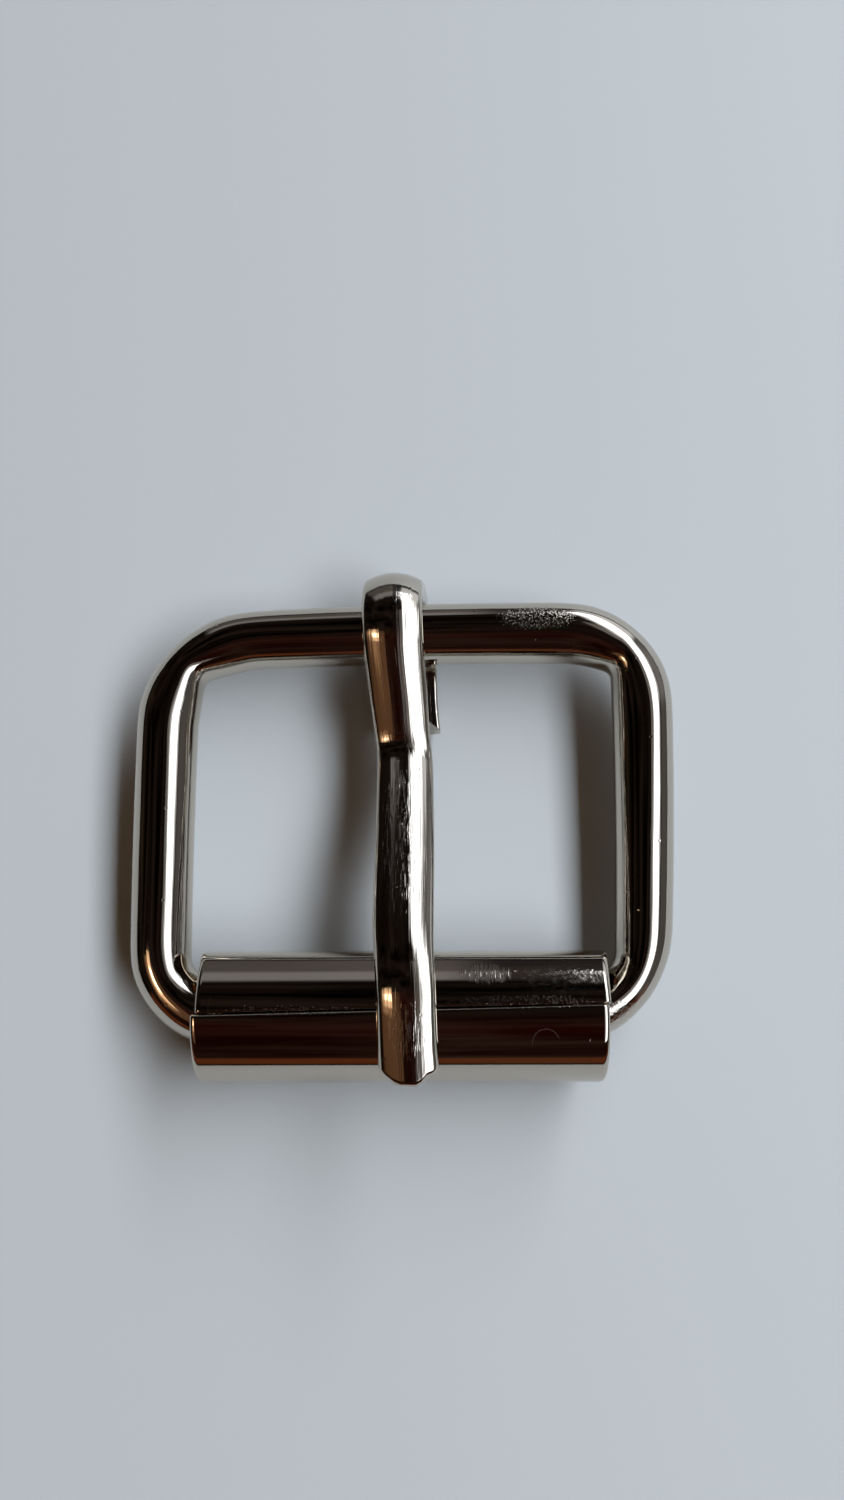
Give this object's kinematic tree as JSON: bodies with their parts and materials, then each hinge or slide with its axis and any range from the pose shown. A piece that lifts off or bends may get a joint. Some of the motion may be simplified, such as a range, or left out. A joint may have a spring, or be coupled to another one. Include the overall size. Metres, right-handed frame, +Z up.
{
  "type": "roller buckle",
  "caption": "Nickel-plated roller buckle for a 25 mm strap: bent wire frame, loose sheet roller on the front bar and a curled, cranked tongue on the back bar.",
  "frame": {"origin": "middle of the footprint, on the surface that the buckle lies on", "axes": "+X along the bars, +Y from the roller towards the back bar, +Z up"},
  "size_m": [0.0324, 0.0304, 0.01],
  "materials": {
    "frame_wire": "bright nickel plate, fine drawing lines along the wire",
    "roller_sheet": "bright nickel plate, light scuffs beside the seam",
    "tongue_wire": "bright nickel plate, drawing lines along the wire"
  },
  "bodies": {
    "frame": {"frame": "frame_wire"},
    "roller": {"roller": "roller_sheet"},
    "tongue": {"tongue": "tongue_wire"}
  },
  "joints": [
    {"name": "roller_spin", "type": "hinge", "parent": "frame", "child": "roller", "pos_m": [-0.00015, -0.01144, 0.00375], "axis": [1, 0, 0], "continuous": true},
    {"name": "tongue_swing", "type": "hinge", "parent": "frame", "child": "tongue", "pos_m": [-0.0002, 0.01144, 0.00375], "axis": [-1, 0, 0], "range_deg": [0, 325]}
  ]
}
